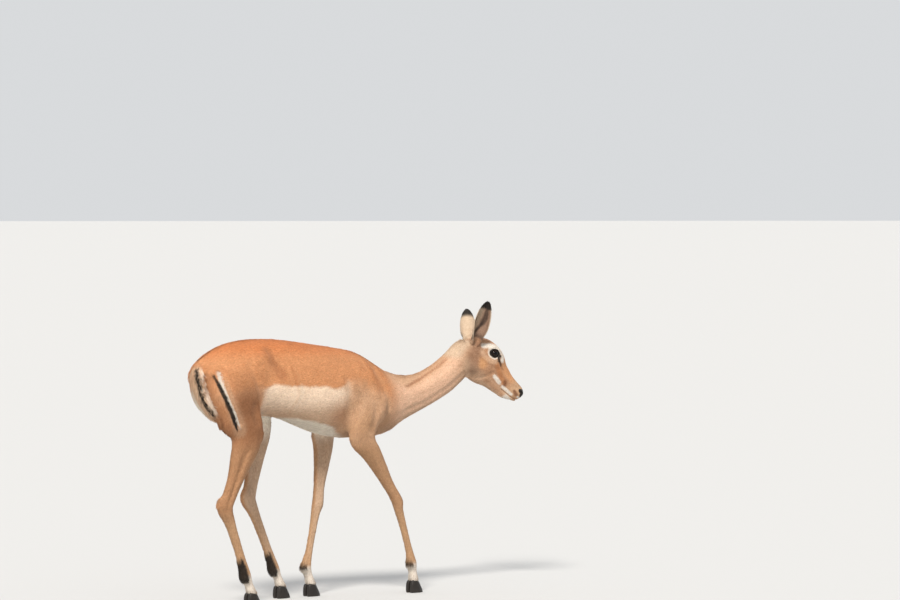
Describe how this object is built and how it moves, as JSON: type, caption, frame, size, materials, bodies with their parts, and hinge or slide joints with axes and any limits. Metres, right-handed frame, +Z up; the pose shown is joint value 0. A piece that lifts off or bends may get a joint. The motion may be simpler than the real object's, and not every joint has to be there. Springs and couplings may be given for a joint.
{
  "type": "impala antelope",
  "caption": "Life-size standing impala ewe, one foreleg forward and head low; a still animal that rests on the flat soles of its cloven hooves.",
  "frame": {"origin": "centre of the bounding box in plan, on the ground under the hooves", "axes": "+X the way the body faces, +Y the animal's left, +Z up"},
  "size_m": [1.3848, 0.2724, 1.0091],
  "materials": {
    "rufous_coat": "short glossy hair",
    "fawn_coat": "short hair",
    "horn": "dark satin horn",
    "eye": "wet gloss"
  },
  "bodies": {
    "root": {"head": "rufous_coat", "neck": "rufous_coat", "trunk": "rufous_coat", "tail": "rufous_coat", "ear_right": "rufous_coat", "ear_left": "rufous_coat", "eye_right": "eye", "eye_left": "eye", "foreleg_right": "fawn_coat", "forefoot_right": "fawn_coat", "foreleg_left": "fawn_coat", "forefoot_left": "fawn_coat", "hindleg_right": "fawn_coat", "hindfoot_right": "fawn_coat", "hindleg_left": "fawn_coat", "hindfoot_left": "fawn_coat", "hoof_fore_right_inner": "horn", "hoof_fore_right_outer": "horn", "hoof_fore_left_inner": "horn", "hoof_fore_left_outer": "horn", "hoof_hind_right_inner": "horn", "hoof_hind_right_outer": "horn", "hoof_hind_left_inner": "horn", "hoof_hind_left_outer": "horn"}
  },
  "joints": []
}
